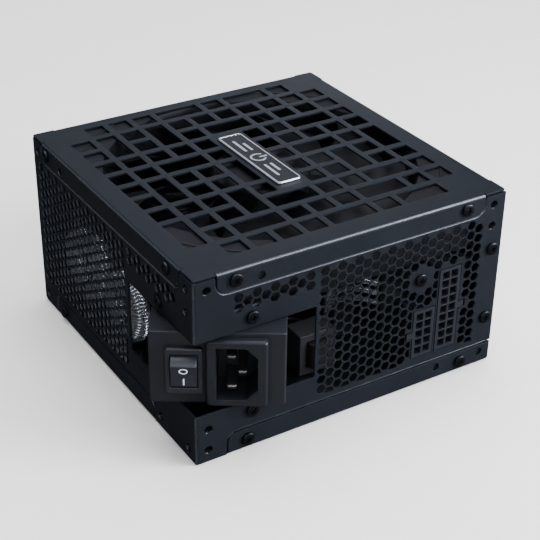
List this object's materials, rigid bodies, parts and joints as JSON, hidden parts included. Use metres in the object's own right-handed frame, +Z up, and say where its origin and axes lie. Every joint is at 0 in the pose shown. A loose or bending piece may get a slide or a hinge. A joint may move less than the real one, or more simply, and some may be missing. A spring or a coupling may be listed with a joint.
{
  "type": "power supply unit",
  "caption": "Modular computer power supply in ATX size, with a top fan under a square grille, honeycomb vents, lead sockets and a mains inlet block that turns at the corner.",
  "frame": {"origin": "centre of the underside of the bottom cover", "axes": "+Z up to the fan grille; -Y out of the wall with the main lead sockets; -X out of the long vented wall"},
  "size_m": [0.1599, 0.1615, 0.087],
  "materials": {
    "black_powder_coat": "satin fine texture",
    "badge": "dark plate with a bright edge",
    "zinc_plated_steel": "satin",
    "black_fastener": "black oxide",
    "fan_plastic": "moulded satin",
    "inlet_plastic": "fine moulded grain",
    "socket_plastic": "moulded satin",
    "switch_plastic": "moulded semi-gloss",
    "plated_brass": "bright nickel plate",
    "circuit_board": "solder mask",
    "aluminium": "satin extruded",
    "winding": "enamelled wire",
    "ferrite": "dull ground",
    "capacitor_sleeve": "shrunk sleeve"
  },
  "bodies": {
    "root": {"side_casing": "black_powder_coat", "top_cover": "black_powder_coat", "bottom_cover": "black_powder_coat", "modular_panel": "black_powder_coat", "badge_plate": "badge", "fan_frame": "fan_plastic", "fan_stator": "fan_plastic", "upper_pivot_bracket": "zinc_plated_steel", "lower_pivot_bracket": "zinc_plated_steel", "socket_10_pin": "socket_plastic", "socket_18_pin": "socket_plastic", "front_socket_board": "circuit_board", "side_socket_board": "circuit_board", "main_board": "circuit_board", "board_bracket": "zinc_plated_steel", "bulk_capacitor": "capacitor_sleeve", "pfc_choke": "winding", "line_filter_coil": "winding", "main_transformer": "ferrite", "standby_transformer": "ferrite", "primary_heatsink": "aluminium", "secondary_heatsink": "aluminium", "output_capacitor_1": "capacitor_sleeve", "output_capacitor_2": "capacitor_sleeve", "side_socket_1": "socket_plastic", "side_socket_2": "socket_plastic", "side_socket_3": "socket_plastic", "side_socket_4": "socket_plastic", "side_socket_5": "socket_plastic", "front_screw_1": "black_fastener", "front_screw_2": "black_fastener", "front_screw_3": "black_fastener", "front_screw_4": "black_fastener", "front_screw_5": "black_fastener", "front_screw_6": "black_fastener", "front_screw_7": "black_fastener", "front_screw_8": "black_fastener", "front_screw_9": "black_fastener", "left_screw_1": "black_fastener", "left_screw_2": "black_fastener", "left_screw_3": "black_fastener", "left_screw_4": "black_fastener", "left_screw_5": "black_fastener", "back_screw_1": "black_fastener", "back_screw_2": "black_fastener", "fan_screw_1": "black_fastener", "fan_screw_2": "black_fastener", "fan_screw_3": "black_fastener", "fan_screw_4": "black_fastener"},
    "fan": {"fan_rotor": "fan_plastic"},
    "inlet": {"inlet_housing": "inlet_plastic", "inlet_rear_cover": "inlet_plastic", "inlet_socket": "socket_plastic", "live_pin": "plated_brass", "neutral_pin": "plated_brass", "earth_pin": "plated_brass", "switch_case": "switch_plastic"},
    "rocker": {"switch_rocker": "switch_plastic"}
  },
  "joints": [
    {"name": "fan_spin", "type": "hinge", "parent": "root", "child": "fan", "pos_m": [0, 0, 0.07], "axis": [0, 0, 1], "continuous": true},
    {"name": "inlet_turn", "type": "hinge", "parent": "root", "child": "inlet", "pos_m": [-0.0472, -0.0472, 0.0407], "axis": [0, 0, 1], "range_deg": [-57.3, 32.7]},
    {"name": "switch_rock", "type": "hinge", "parent": "inlet", "child": "rocker", "pos_m": [-0.07281, -0.06284, 0.0401], "axis": [-0.8415, 0.5402, 0], "range_deg": [0, 24]}
  ]
}
